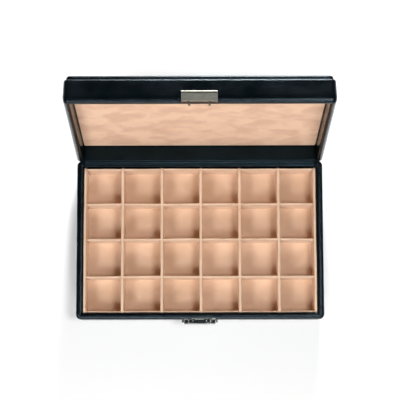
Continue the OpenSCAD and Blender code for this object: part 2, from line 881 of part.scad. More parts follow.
// A coil from the spring block to the latch, as one tube swept along a helix
module latch_spring() {
    x0 = block_w / 2 + wire_r + lock_gap / 2;
    x1 = web_x - web_t - wire_r - lock_gap / 2;
    steps = 8 * spring_turns;
    turn_r = spring_r - wire_r;
    skin([for (k = [0:steps]) let (a = 45 * k, x = x0 + (x1 - x0) * k / steps)
        [for (i = [0:5]) let (b = -60 * i, q = turn_r + wire_r * cos(b))
            [x + wire_r * sin(b), lock_mid + q * cos(a), spring_z + q * sin(a)]]]);
}

module latch_spring_left() {
    color(NICKEL) at_lock() mirror([1, 0, 0]) latch_spring();
}

module latch_spring_right() {
    color(NICKEL) at_lock() latch_spring();
}

// Lock on the lid, drawn shut about its own middle

// A pan of sheet metal with a half-round finger lip along its upper edge
module lid_lock_plate() {
    color(NICKEL) standing_open() at_lock() difference() {
        union() {
            block(-plate_w / 2, plate_w / 2, plate_front, -case_d / 2, plate_low, plate_top);
            translate([-plate_w / 2, plate_front, plate_top - lip_drop]) rotate([0, 90, 0])
                cylinder(h = plate_w, r = lip_r);
        }
        block(-plate_w / 2 + sheet_t, plate_w / 2 - sheet_t, plate_front + sheet_t, past - case_d / 2,
            plate_low + sheet_t, plate_top - sheet_t);
        both_sides() block(hook_in - hole_gap, hook_out + hole_gap, plate_front + sheet_t,
            past - case_d / 2, plate_low - past, plate_low + sheet_t + past);
    }
}

// A strap inside the plate with two hooks, whose barbs point towards each other
module lid_hooks() {
    y0 = plate_front + sheet_t;
    low = plate_low + sheet_t + hole_gap;
    high = plate_top - sheet_t - hole_gap;
    color(STEEL) standing_open() at_lock() difference() {
        union() {
            block(-hook_out - strap_edge, hook_out + strap_edge, y0, y0 + hook_t, low, high);
            both_sides() translate([0, y0 + hook_t, 0]) rotate([90, 0, 0]) linear_extrude(hook_t)
                polygon([[hook_in, low + past], [hook_out, low + past],
                    [hook_out, hook_low], [hook_in, hook_low],
                    [hook_in - barb, hook_low + barb_h * 0.7], [hook_in - barb, hook_low + barb_h],
                    [hook_in, hook_low + barb_h]]);
        }
        lid_rivet_places() rivet(lock_depth, hole_gap);
    }
}

// Rivets through the strap, each with a spacer that keeps the strap off the wall
module lid_hook_rivets() {
    out = -case_d / 2 - plate_front - sheet_t;
    color(STEEL) standing_open() at_lock() lid_rivet_places() {
        rivet(out, 0);
        translate([0, 0, hook_t - out]) cylinder(h = out - hook_t, r = spacer_r);
    }
}

base_leather_cover();
base_bottom_board();
base_front_board();
base_back_board();
base_left_board();
base_right_board();
base_underside_sheet();
hinge_strip_base();
tray_floor();
tray_front_liner();
tray_back_liner();
tray_left_liner();
tray_right_liner();
for (i = [1:columns - 1]) column_divider(i);
for (i = [1:rows - 1]) row_divider(i);
lid_leather_cover();
lid_top_board();
lid_front_board();
lid_back_board();
lid_left_board();
lid_right_board();
lid_top_foam();
lid_top_leather();
lid_pad_card();
lid_velour_pad();
hinge_strip_lid();
hinge_left_base_leaf();
hinge_left_lid_leaf();
hinge_left_pin();
hinge_right_base_leaf();
hinge_right_lid_leaf();
hinge_right_pin();
hinge_base_screws();
hinge_lid_screws();
lock_case();
lock_back_plate();
lock_top_plate();
lock_eyelets();
lock_spring_block();
lock_rivets();
latch_left();
latch_right();
lock_button_left();
lock_button_right();
latch_spring_left();
latch_spring_right();
lid_lock_plate();
lid_hooks();
lid_hook_rivets();
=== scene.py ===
"""Coin display case: a leather-covered box with a velour tray, a padded lid and a snap lock."""

import json
import math

import bmesh
import bpy
from mathutils import Matrix, Vector, noise


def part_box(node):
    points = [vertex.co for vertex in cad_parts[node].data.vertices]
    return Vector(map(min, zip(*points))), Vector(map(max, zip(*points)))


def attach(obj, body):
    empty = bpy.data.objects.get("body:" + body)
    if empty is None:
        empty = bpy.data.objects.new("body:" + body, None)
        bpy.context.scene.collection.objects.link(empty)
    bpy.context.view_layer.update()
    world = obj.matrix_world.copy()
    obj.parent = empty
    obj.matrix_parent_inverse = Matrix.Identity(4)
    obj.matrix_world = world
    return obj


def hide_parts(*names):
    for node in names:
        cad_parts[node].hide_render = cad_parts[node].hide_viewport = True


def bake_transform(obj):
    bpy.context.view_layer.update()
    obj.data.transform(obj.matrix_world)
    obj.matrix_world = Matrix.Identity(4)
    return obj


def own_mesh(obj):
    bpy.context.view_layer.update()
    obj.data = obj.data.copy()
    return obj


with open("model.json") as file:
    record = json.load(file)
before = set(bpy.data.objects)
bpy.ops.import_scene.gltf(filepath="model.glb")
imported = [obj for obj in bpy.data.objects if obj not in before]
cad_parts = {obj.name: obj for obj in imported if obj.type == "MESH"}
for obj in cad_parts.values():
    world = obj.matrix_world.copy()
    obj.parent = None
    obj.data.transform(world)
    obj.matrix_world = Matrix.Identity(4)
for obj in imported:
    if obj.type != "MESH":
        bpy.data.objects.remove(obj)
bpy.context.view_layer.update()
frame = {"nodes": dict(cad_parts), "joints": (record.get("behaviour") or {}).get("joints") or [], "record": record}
nodes = frame["nodes"]
JOINTS = {joint["name"]: joint for joint in frame["joints"]}

MM = 0.001

# Places taken from the solids
HINGE = Vector(JOINTS["lid_hinge"]["pos_m"])
OPENING = math.radians(JOINTS["lid_hinge"]["range_deg"][1])
CASE_LOW, CASE_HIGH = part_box("base_leather_cover")
LEAF_LOW, LEAF_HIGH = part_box("hinge_right_base_leaf")
RIM = CASE_HIGH.z
PARTING = 2 * (HINGE.z - RIM)

opened = Matrix.Translation(HINGE) @ Matrix.Rotation(-OPENING, 4, "X") @ Matrix.Translation(-HINGE)
shut = opened.inverted()


def shut_box(node):
    """The corners of a node of the lid as it lies when the lid is shut."""
    points = [shut @ v.co for v in nodes[node].data.vertices]
    low = Vector([min(p[i] for p in points) for i in range(3)])
    high = Vector([max(p[i] for p in points) for i in range(3)])
    return low, high


# Materials

def srgb(code):
    """A colour written as sRGB hex, as linear red, green, blue and alpha."""
    parts = [int(code[i:i + 2], 16) / 255 for i in (1, 3, 5)]
    return [c / 12.92 if c <= 0.04045 else ((c + 0.055) / 1.055) ** 2.4 for c in parts] + [1]


def add(tree, kind, inputs=(), **settings):
    """Adds a shader node with its settings, and sets or links its inputs."""
    node = tree.nodes.new("ShaderNode" + kind)
    for name, value in settings.items():
        setattr(node, name, value)
    for socket, value in dict(inputs).items():
        if isinstance(value, bpy.types.NodeSocket):
            tree.links.new(value, node.inputs[socket])
        else:
            node.inputs[socket].default_value = value
    return node


def new_material(name):
    material = bpy.data.materials.new(name)
    material.use_nodes = True
    tree = material.node_tree
    tree.nodes.clear()
    place = add(tree, "TexCoord").outputs["Object"]
    return material, tree, place


def finish(tree, shader):
    add(tree, "OutputMaterial", {"Surface": shader.outputs[0]})


def blend_colours(tree, factor, low, high, soft=0.18):
    ramp = add(tree, "ValToRGB", {"Fac": factor})
    ramp.color_ramp.elements[0].position = 0.5 - soft
    ramp.color_ramp.elements[1].position = 0.5 + soft
    ramp.color_ramp.elements[0].color = srgb(low)
    ramp.color_ramp.elements[1].color = srgb(high)
    return ramp.outputs["Color"]


def black_calf_leather(low, high, gloss, shine, tint, grain):
    """Box calf, dyed through and plated: a tight pebble grain and a narrow, faintly blue gloss."""
    material, tree, place = new_material("black calf leather, plated")
    # Real pebbles are half a millimetre across; these are coarser, so that they show
    pebble, pore, stretch = 1.3 * MM, 0.5 * MM, 22 * MM
    pebbles = add(tree, "TexVoronoi", {"Vector": place, "Scale": 1 / pebble, "Randomness": 0.9},
                  feature="DISTANCE_TO_EDGE")
    creases = add(tree, "MapRange", {"Value": pebbles.outputs["Distance"], "From Max": 0.16})
    pores = add(tree, "TexNoise", {"Vector": place, "Scale": 1 / pore, "Detail": 3.0})
    hide = add(tree, "TexNoise", {"Vector": place, "Scale": 1 / stretch, "Detail": 2.0})
    first = add(tree, "Bump", {"Height": creases.outputs[0], "Strength": 0.8 * grain,
                               "Distance": 0.05 * MM})
    second = add(tree, "Bump", {"Height": pores.outputs["Fac"], "Strength": 0.35 * grain,
                                "Distance": 0.06 * MM, "Normal": first.outputs[0]})
    third = add(tree, "Bump", {"Height": hide.outputs["Fac"], "Strength": 0.6,
                               "Distance": 0.4 * MM, "Normal": second.outputs[0]})
    worn = add(tree, "MapRange", {"Value": hide.outputs["Fac"], "From Min": 0.3, "From Max": 0.7,
                                  "To Min": gloss - 0.04, "To Max": gloss + 0.05})
    finish(tree, add(tree, "BsdfPrincipled", {
        "Base Color": blend_colours(tree, hide.outputs["Fac"], low, high),
        "Roughness": worn.outputs[0], "IOR": 1.5, "Specular IOR Level": shine,
        "Specular Tint": srgb(tint), "Normal": third.outputs[0]}))
    return material


def peach_velour(low, high, patch, soft):
    """Short rayon pile on a card or a pad: dull, brushed both ways, and pale where it is seen edge on.
    Patch is the width of a brushed patch, and soft is how gently one patch passes into the next."""
    material, tree, place = new_material("peach velour, brushed")
    brushed = add(tree, "Mapping", {"Vector": place, "Scale": (1, 1.4, 1.4)})
    strokes = add(tree, "TexNoise", {"Vector": brushed.outputs[0], "Scale": 1 / patch, "Detail": 2.5,
                                     "Roughness": 0.5, "Distortion": 0.5})
    # A real tuft is 0.1 mm thick; it is drawn at four times that
    tuft = 0.4 * MM
    pile = add(tree, "TexNoise", {"Vector": place, "Scale": 1 / tuft, "Detail": 2.0})
    nap = add(tree, "Bump", {"Height": pile.outputs["Fac"], "Strength": 0.4, "Distance": 0.12 * MM})
    lie = add(tree, "Bump", {"Height": strokes.outputs["Fac"], "Strength": 0.12, "Distance": 1.2 * MM,
                             "Normal": nap.outputs[0]})
    finish(tree, add(tree, "BsdfPrincipled", {
        "Base Color": blend_colours(tree, strokes.outputs["Fac"], low, high, soft),
        "Roughness": 0.95, "Specular IOR Level": 0.15, "Sheen Weight": 0.3, "Sheen Roughness": 0.45,
        "Sheen Tint": srgb("#ffeadb"), "Normal": lie.outputs[0]}))
    return material


def plated_metal(name, low, high, roughness, stroke, relief):
    """Plated sheet metal: low and high are its tones, stroke the size of its brush marks along each axis
    and relief their depth, both in millimetres."""
    material, tree, place = new_material(name)
    along = add(tree, "Mapping", {"Vector": place, "Scale": [1 / (s * MM) for s in stroke]})
    marks = add(tree, "TexNoise", {"Vector": along.outputs[0], "Scale": 1.0, "Detail": 3.0})
    cut = add(tree, "Bump", {"Height": marks.outputs["Fac"], "Strength": 0.4, "Distance": relief * MM})
    tarnish = add(tree, "MapRange", {"Value": marks.outputs["Fac"], "To Min": roughness * 0.8,
                                     "To Max": roughness * 1.2})
    finish(tree, add(tree, "BsdfPrincipled", {
        "Base Color": blend_colours(tree, marks.outputs["Fac"], low, high), "Metallic": 1.0,
        "Roughness": tarnish.outputs[0], "Normal": cut.outputs[0]}))
    return material


def pressed_board():
    """Grey-brown pressed board: matte, with long fibres."""
    material, tree, place = new_material("pressed board, bare")
    fibre = 1.5 * MM
    fibres = add(tree, "TexNoise", {"Vector": place, "Scale": 1 / fibre, "Detail": 5.0, "Distortion": 0.8})
    rough = add(tree, "Bump", {"Height": fibres.outputs["Fac"], "Strength": 0.4, "Distance": 0.2 * MM})
    finish(tree, add(tree, "BsdfPrincipled", {
        "Base Color": blend_colours(tree, fibres.outputs["Fac"], "#9c7850", "#b99264"),
        "Roughness": 0.85, "Normal": rough.outputs[0]}))
    return material


def felt_card(name, low, high, fibre):
    """Card or foam faced with a short felt: dull, with fine flecks as wide as a fibre's tangle."""
    material, tree, place = new_material(name)
    flecks = add(tree, "TexNoise", {"Vector": place, "Scale": 1 / fibre, "Detail": 6.0, "Roughness": 0.7})
    nap = add(tree, "Bump", {"Height": flecks.outputs["Fac"], "Strength": 0.5, "Distance": 0.2 * MM})
    finish(tree, add(tree, "BsdfPrincipled", {
        "Base Color": blend_colours(tree, flecks.outputs["Fac"], low, high),
        "Roughness": 0.95, "Specular IOR Level": 0.2, "Normal": nap.outputs[0]}))
    return material


LEATHER = black_calf_leather("#03070a", "#070c10", gloss=0.20, shine=0.35, tint="#c2dcec", grain=1.0)
SMOOTH_LEATHER = black_calf_leather("#080e11", "#0d1519", gloss=0.20, shine=0.22, tint="#a4d4ee", grain=0.5)
VELOUR = peach_velour("#dcbb9e", "#e9cab0", patch=30 * MM, soft=0.18)
PAD_VELOUR = peach_velour("#e0b599", "#f0c9ab", patch=25 * MM, soft=0.11)
BOARD = pressed_board()
CARD = felt_card("black felt on card", "#17191b", "#24272a", 0.7 * MM)
FOAM = felt_card("cream foam", "#d8cfb4", "#e8e0c8", 0.9 * MM)
NICKEL = plated_metal("nickel plate, brushed", "#92938a", "#b5b5aa", 0.35, (6, 0.25, 0.25), 0.02)
BRIGHT_NICKEL = plated_metal("nickel plate, polished", "#c6c8c0", "#e0e1da", 0.2, (3, 0.6, 0.6), 0.01)
CHROME = plated_metal("chrome plate, polished", "#c3c5c4", "#dcdedd", 0.18, (3, 3, 3), 0.01)
SATIN_CHROME = plated_metal("chrome plate, satin", "#7b7e7d", "#989b9a", 0.3, (3, 0.6, 0.6), 0.02)
DARK_STEEL = plated_metal("blackened steel", "#171b1c", "#2b3032", 0.3, (2, 0.6, 0.6), 0.02)
HOOK_STEEL = plated_metal("steel hooks, nickelled dull", "#6f6a60", "#8e887c", 0.35, (1, 0.3, 0.3), 0.02)
BRASS = plated_metal("brass, rolled", "#a98843", "#c7a45c", 0.3, (4, 0.3, 0.3), 0.02)

SLOTS = {"leather": LEATHER, "velour": VELOUR, "board": BOARD, "card": CARD, "foam": FOAM,
         "nickel": NICKEL, "chrome": CHROME, "dark_steel": DARK_STEEL, "brass": BRASS}
SLOT_OF = {part["node"]: part["material_slot"] for part in frame["record"]["subparts"]}
for node_name, slot_name in SLOT_OF.items():
    solid = nodes[node_name]
    solid.data.materials.clear()
    solid.data.materials.append(SLOTS[slot_name])


# Pieces

def keep_piece(name, mesh, material, body, slot, stands_for, flats=False):
    """Puts a finished mesh into the scene as a piece of the case. With flats, wide faces shade flat."""
    bmesh.ops.recalc_face_normals(mesh, faces=mesh.faces)
    for face in mesh.faces:
        face.smooth = True
    data = bpy.data.meshes.new(name)
    mesh.to_mesh(data)
    if flats:
        lean = [sum((f.normal * f.calc_area() for f in v.link_faces), Vector()) for v in mesh.verts]
        data.normals_split_custom_set_from_vertices([n.normalized() for n in lean])
    mesh.free()
    data.materials.append(material)
    piece = bpy.data.objects.new(name, data)
    bpy.context.scene.collection.objects.link(piece)
    if body:
        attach(piece, body)
    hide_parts(*stands_for)
    return piece


def loft(mesh, rings, close_ends=True):
    """Joins closed rings of points into a skin, with a cap at each end."""
    loops = [[mesh.verts.new(point) for point in ring] for ring in rings]
    count = len(loops[0])
    for one, other in zip(loops, loops[1:]):
        for i in range(count):
            k = (i + 1) % count
            mesh.faces.new((one[i], one[k], other[k], other[i]))
    if close_ends:
        mesh.faces.new(loops[0])
        mesh.faces.new(loops[-1])
    return loops


def wander(position, seed, size, amount):
    """A smooth random shift of up to amount, with bumps of that size."""
    return amount * noise.noise(Vector((position / size, seed * 7.3, 1.7)))


def ease(t):
    """From 0 to 1, level at both ends."""
    t = min(1, max(0, t))
    return t * t * (3 - 2 * t)


def fading(distance, reach):
    """From 1 at no distance down to nothing, with most of it within reach."""
    return math.exp(-(distance / reach) ** 2)


QUARTER = math.pi / 2


def angles(start, end, steps):
    """Angles from start to end in even steps, with both ends."""
    return [start + (end - start) * i / steps for i in range(steps + 1)]


# Leather covers: the hide is pasted over the boards, rolled over the rims and turned in at both edges

LEATHER_T = 1.2 * MM
CORNER_R = 5 * MM
CORNER_STEPS = 8
RIM_STEPS = 9
WALL_T = 6.4 * MM
# Places near a corner where the hide gets a row of points of its own, and the spacing of the other rows
END_SPACING = [0.7 * MM, 1.5 * MM, 2.5 * MM, 4 * MM, 6 * MM]
HIDE_STEP = 3 * MM
# The hide's hidden side keeps this far inside the outline, and its far edge is turned in by the flange
HIDDEN_INSET = 1.4 * MM
FLANGE = 8 * MM
# The leather strip over the hinges begins this far inside the outline
STRIP_EDGE = 2 * MM


def run_fractions(length):
    """Places along one side of the case as fractions, closer together near the corners."""
    margin = END_SPACING[-1]
    count = round((length - 2 * margin) / HIDE_STEP)
    middle = [margin + (length - 2 * margin) * i / count for i in range(count + 1)]
    near = END_SPACING[:-1]
    return [d / length for d in near + middle + [length - d for d in reversed(near)]]


def round_the_case(width, depth, inset):
    """Points round the case at a distance inside its outline, each with the direction it faces."""
    r = max(CORNER_R - inset, 0.25 * MM)
    half_w, half_d = width / 2 - inset - r, depth / 2 - inset - r
    centres = [Vector(c) for c in ((half_w, half_d), (-half_w, half_d), (-half_w, -half_d), (half_w, -half_d))]
    across, along = run_fractions(width - 2 * CORNER_R), run_fractions(depth - 2 * CORNER_R)
    points = []
    for k, centre in enumerate(centres):
        for a in angles(QUARTER * k, QUARTER * (k + 1), CORNER_STEPS):
            out = Vector((math.cos(a), math.sin(a)))
            points.append((centre + out * r, out))
        here, there = centre + out * r, centres[(k + 1) % 4] + out * r
        points += [(here.lerp(there, t), out) for t in (across if k % 2 == 0 else along)]
    return points


def inner_bend(fold):
    """The rim's section from the inner wall up to its crest: inset and drop."""
    half = WALL_T / 2
    return [(half + half * math.cos(a), fold * (1 - math.sin(a))) for a in angles(0, QUARTER, RIM_STEPS)]


def round_bend(roll):
    """The rim's section from its crest to the outer wall, as one even bend."""
    half = WALL_T / 2
    return [(half * (1 - math.sin(a)), roll * (1 - math.cos(a))) for a in angles(0, QUARTER, RIM_STEPS)[1:]]


def slow_bend(slow):
    """The same for a hide that is folded sharply at the crest and then falls slowly to the outer wall."""
    half, turn = WALL_T / 2, math.radians(28)
    tight = (half - slow * (1 - math.cos(turn))) / math.cos(turn)
    sharp = [(half - tight * math.cos(a), tight * (1 - math.sin(a))) for a in angles(QUARTER, turn, 6)[1:]]
    fold_end = sharp[-1][1]
    return sharp + [(slow * (1 - math.cos(a)), fold_end + slow * (math.sin(turn) - math.sin(a)))
                    for a in angles(turn, 0, 7)[1:]]


def hide_section(height, leaf, far_r, rim):
    """The hide's section, closed: inset from the outline, drop from the rim, and how much it may puff out."""
    fold, roll = rim[0][1], rim[-1][1]
    inner_wall = [(WALL_T, leaf + (fold - leaf) * t, 0.2) for t in (0, 0.15, 0.3, 0.5, 0.7, 0.85)]
    over_rim = [(inset, drop, 0.5) for inset, drop in rim]
    wall = [(0, roll + (height - far_r - roll) * t, 1)
            for t in (0.06, 0.14, 0.25, 0.37, 0.5, 0.63, 0.75, 0.86, 0.94, 1)]
    edge = [(far_r * (1 - math.cos(a)), height - far_r + far_r * math.sin(a), 0.5)
            for a in angles(0, QUARTER, 4)[1:]]
    flat = [(3.5 * MM, height, 0.2), (6 * MM, height, 0.1), (FLANGE, height, 0)]
    hidden = [(FLANGE, height - LEATHER_T, 0), (HIDDEN_INSET, height - LEATHER_T, 0),
              (HIDDEN_INSET, height / 2, 0), (HIDDEN_INSET, 3 * MM, 0), (WALL_T / 2, 1.3 * MM, 0),
              (WALL_T - HIDDEN_INSET, 2.4 * MM, 0), (WALL_T - LEATHER_T, leaf, 0)]
    return inner_wall + over_rim + wall + edge + flat + hidden


def fullness(x, y, drop, away, middle):
    """How far the pasted hide stands off its boards: uneven, fullest in the middle of a wall, and gathered
    in small puckers round a corner."""
    waver = 16 * MM
    spot = Vector((x / waver, y / waver, away * drop / waver + 4.2 * away))
    to_corner = math.hypot(abs(x) - CASE_HIGH.x, abs(y) + CASE_LOW.y)
    puckers = math.sin(to_corner / (1.3 * MM)) * fading(to_corner, 7 * MM)
    return (0.10 * noise.fractal(spot, 1.0, 2.0, 3) + 0.30 * middle + 0.05 * puckers) * MM


def mitre(x, y):
    """How deep the crease is where the hide's turned-in edges meet at a corner."""
    return 0.22 * MM * fading((CASE_HIGH.x - abs(x)) + (CASE_LOW.y + abs(y)), 0.45 * MM)


def hinge_bed(x, y, h, inset, inner_half):
    """The back wall lets in the hinges: a step in its rim for the leather strip, a groove for the knuckles."""
    covered = ease((inner_half + 0.6 * MM - abs(x)) / (0.8 * MM))
    if inset > WALL_T - 2 * MM:
        y += 1.3 * MM * covered
    if inset > STRIP_EDGE - 0.2 * MM:
        h = max(h, 1.0 * MM * covered)
    beside = max(LEAF_LOW.x - abs(x), abs(x) - LEAF_HIGH.x)
    groove = 1.25 * MM * ease((1.2 * MM - beside) / (1.2 * MM))
    hinge_drop = -PARTING / 2
    dy, dh = y - HINGE.y, h - hinge_drop
    reach = math.hypot(dy, dh)
    if 0 < reach < groove:
        h = hinge_drop + dh * groove / reach
    return y, h


def leather_cover(node, body, start, away, height, leaf, far_r, rim, swell, drawn):
    """The hide over one half of the case. Start is the height of its rim, and away the side of the rim on
    which it lies. Swell is how far the walls stand out just under the rim, and drawn how far the hide is
    drawn back from the rim at the front."""
    width, depth = CASE_HIGH.x - CASE_LOW.x, -2 * CASE_LOW.y
    section = hide_section(height, leaf, far_r, rim)
    roll = rim[-1][1]
    rings = []
    for i, (inset, drop, puff) in enumerate(section):
        before, after = section[i - 1], section[(i + 1) % len(section)]
        run = Vector((after[0] - before[0], after[1] - before[1])).normalized()
        middle = 4 * drop / height * (1 - drop / height) if inset == 0 else 0
        ring = []
        for point, out in round_the_case(width, depth, inset):
            x, y, h = point.x, point.y, drop
            if inset < WALL_T / 2 and drop <= roll:
                # Next to the hinges the rim is creased more tightly
                h = drop * (1 - 0.55 * ease(0.5 + y / depth))
            h += drawn * ease(0.5 - y / depth) * max(0, 1 - drop / (10 * MM))
            stand = swell * max(0, 1 - 2 * inset / WALL_T) * fading(drop - 4 * MM, 9 * MM)
            x, y = x + out.x * stand, y + out.y * stand
            if puff:
                lift = fullness(x, y, drop, away, middle) * puff
                if inset > 0 and drop < 2 * MM:
                    lift -= mitre(x, y)
                x, y = x + out.x * run.y * lift, y + out.y * run.y * lift
                h = h + run.x * lift
            if y > 0 and out.y > 0.99:
                y, h = hinge_bed(x, y, h, inset, width / 2 - WALL_T)
            ring.append(Vector((x, y, start + away * h)))
        rings.append(ring)
    mesh = bmesh.new()
    loops = loft(mesh, rings, close_ends=False)
    for k in range(len(loops[0])):
        j = (k + 1) % len(loops[0])
        mesh.faces.new((loops[-1][k], loops[-1][j], loops[0][j], loops[0][k]))
    if away > 0:
        mesh.transform(opened)
    keep_piece("leather_" + body, mesh, LEATHER, body, "leather", [node])


leather_cover("base_leather_cover", "base", RIM, -1, height=RIM - CASE_LOW.z, leaf=12 * MM, far_r=1.2 * MM,
              rim=inner_bend(1.4 * MM) + round_bend(2.4 * MM), swell=0.8 * MM, drawn=0)
leather_cover("lid_leather_cover", "lid", RIM + PARTING, 1, height=27 * MM, leaf=21.8 * MM, far_r=1.8 * MM,
              rim=inner_bend(2.0 * MM) + slow_bend(12 * MM), swell=0.5 * MM, drawn=0.8 * MM)


def pared_board(node):
    """A wall board of the lid, pared down at its rim, so that the hide can roll over it."""
    mesh = bmesh.new()
    mesh.from_mesh(nodes[node].data)
    mesh.transform(shut)
    rim = min(v.co.z for v in mesh.verts) + 0.05 * MM
    for v in mesh.verts:
        if v.co.z < rim:
            v.co.z += 1.4 * MM
    mesh.transform(opened)
    keep_piece("board_" + node, mesh, BOARD, "lid", "board", [node], flats=True)


for side in ("front", "left", "right"):
    pared_board("lid_" + side + "_board")


# Velour ribs: each divider or liner of the tray is a card wrapped in velour

WRAP_R = 0.9 * MM
RIB_STEP = 4 * MM
# How far the front and the back face of a rib stand from those of its solid: the liners are drawn a little
# thinner, and the long ribs reach the leather at both ends
LINER_FACES = {"tray_front_liner": (0.5 * MM, 0), "tray_back_liner": (0.4 * MM, 0.1 * MM)}
LONG_RIB_ENDS = (-0.2 * MM, 0.7 * MM)


def rib_section(width, height):
    """Half-round top on a card of that width: points across (side, up), with a foot that flares a little."""
    half, flare = width / 2, 0.5 * MM
    r = min(WRAP_R, half - 0.05 * MM)
    top = [(half - r + r * math.cos(a), height - r + r * math.sin(a)) for a in angles(0, QUARTER, 5)]
    foot = [(half + flare, 0), (half + flare, 0.2 * MM), (half + 0.3 * flare, 0.6 * MM),
            (half, 1.4 * MM), (half, height * 0.5)]
    side = foot + top
    return side + [(-x, z) for x, z in reversed(side)]


def velour_rib(node, along_x, seed):
    """A divider or a liner that stands where its solid stands, a little uneven, as it is set by hand."""
    low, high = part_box(node)
    front, back = LINER_FACES.get(node, (0, 0)) if along_x else LONG_RIB_ENDS
    low.y += front
    high.y += back
    length = (high.x - low.x) if along_x else (high.y - low.y)
    width = (high.y - low.y) if along_x else (high.x - low.x)
    middle = (low + high) / 2
    count = max(2, round(length / RIB_STEP))
    rings = []
    for k in range(count + 1):
        s = length * (k / count - 0.5)
        end = min(1, (length / 2 - abs(s)) / WRAP_R)
        drop = WRAP_R * (1 - math.sqrt(max(0, 1 - (1 - end) ** 2)))
        sway = wander(s, seed, size=38 * MM, amount=0.35 * MM)
        lift = wander(s, seed + 11, size=25 * MM, amount=0.2 * MM) - 0.1 * MM
        ring = []
        for side, up in rib_section(width, high.z - low.z):
            # The card is straight at its foot and uneven towards its top
            share = up / (high.z - low.z)
            across = side + sway * share
            rise = low.z + up + (lift - drop) * share ** 3
            dx, dy = (s, across) if along_x else (across, s)
            ring.append((middle.x + dx, middle.y + dy, rise))
        rings.append(ring)
    mesh = bmesh.new()
    loft(mesh, rings)
    keep_piece("velour_" + node, mesh, VELOUR, "base", "velour", [node])


long_ribs = sorted(n for n in nodes if n.startswith("column_divider"))
cross_ribs = sorted(n for n in nodes if n.startswith("row_divider"))
for number, rib in enumerate(long_ribs + ["tray_left_liner", "tray_right_liner"]):
    velour_rib(rib, False, number)
for number, rib in enumerate(cross_ribs + ["tray_front_liner", "tray_back_liner"]):
    velour_rib(rib, True, number + 20)


# Cushions: the floor of the tray, the velour pad in the lid and the padded top

def spread(length, fine, step):
    """Places along a length, close together near both ends."""
    half = length / 2
    near = [half - d for d in fine if d < half]
    inner = near[-1]
    count = max(1, math.ceil(inner / step))
    middle = [inner * i / count for i in range(-count + 1, count)]
    return [-p for p in near] + middle + list(reversed(near))


def cushion(width, depth, corner, height_at, fine, step):
    """A pad that lies on its flat back: its top rises with the distance from the rounded outline."""
    xs = spread(width, fine, step)
    ys = spread(depth, fine, step)
    mesh = bmesh.new()
    grid = []
    for x in xs:
        row = []
        for y in ys:
            qx = abs(x) - (width / 2 - corner)
            qy = abs(y) - (depth / 2 - corner)
            px, py = x, y
            inside = corner - max(qx, qy)
            if qx > 0 and qy > 0:
                # Near a corner the square grid is pressed into the round outline
                turn = max(qx, qy) / math.hypot(qx, qy)
                px = math.copysign(width / 2 - corner + qx * turn, x)
                py = math.copysign(depth / 2 - corner + qy * turn, y)
            row.append(mesh.verts.new((px, py, height_at(px, py, max(inside, 0)))))
        grid.append(row)
    for i in range(len(xs) - 1):
        for k in range(len(ys) - 1):
            mesh.faces.new((grid[i][k], grid[i + 1][k], grid[i + 1][k + 1], grid[i][k + 1]))
    edge = [row[0] for row in grid] + grid[-1][1:] + [row[-1] for row in reversed(grid[:-1])]
    edge += list(reversed(grid[0][1:-1]))
    foot = [mesh.verts.new((v.co.x, v.co.y, 0)) for v in edge]
    for i in range(len(edge)):
        k = (i + 1) % len(edge)
        mesh.faces.new((edge[i], edge[k], foot[k], foot[i]))
    mesh.faces.new(foot)
    return mesh


def crowned(inside, side, edge, rise, crown, run):
    """The height of a cushion at a distance inside its outline: a round shoulder, edge wide and rise high,
    up to the side's height, and then a slow crown that is full where it has run its length."""
    if inside < edge:
        return side - rise * (1 - math.sqrt(1 - (1 - inside / edge) ** 2))
    t = min(1, (inside - edge) / (run - edge))
    return side + crown * (1 - (1 - t) ** 2)


def velour_floor():
    """The floor of the tray: velour on card, not quite flat."""
    low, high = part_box("tray_floor")
    width, depth, thick = high.x - low.x, high.y - low.y, high.z - low.z
    middle = (low + high) / 2
    wave, pile = 18 * MM, 0.2 * MM

    def height_at(x, y, inside):
        lie = noise.fractal(Vector((x / wave, y / wave, 6.1)), 1.0, 2.0, 2)
        return thick + pile + 0.06 * MM * lie

    mesh = cushion(width, depth, 0.3 * MM, height_at, [0, 0.5 * MM], 2.2 * MM)
    mesh.transform(Matrix.Translation((middle.x, middle.y, low.z)))
    keep_piece("velour_tray_floor", mesh, VELOUR, "base", "velour", ["tray_floor"])


def velour_pad():
    """The pad inside the lid: crushed velour, crowned, drawn in along its edge."""
    low, high = shut_box("lid_velour_pad")
    width, depth, thick = high.x - low.x, high.y - low.y, high.z - low.z
    crown, shoulder = 0.8 * MM, 1.6 * MM
    stroke_x, stroke_y = 24 * MM, 14 * MM

    def height_at(x, y, inside):
        crush = noise.fractal(Vector((x / stroke_x, y / stroke_y, 3.1)), 1.0, 2.0, 3)
        soft = ease(inside / (4 * MM))
        bulge = crowned(inside, thick - crown, shoulder, 0.7 * MM, crown, 30 * MM)
        return bulge + (0.15 * crush - 0.2) * MM * soft

    mesh = cushion(width, depth, 2 * MM, height_at,
                   [0, 0.25 * MM, 0.7 * MM, shoulder, 3 * MM, 5 * MM], 2.6 * MM)
    middle = (low + high) / 2
    seat = Matrix.Translation((middle.x, middle.y, high.z)) @ Matrix.Rotation(math.pi, 4, "X")
    mesh.transform(opened @ seat)
    piece = keep_piece("velour_lid_pad", mesh, PAD_VELOUR, "lid", "velour", ["lid_velour_pad"])


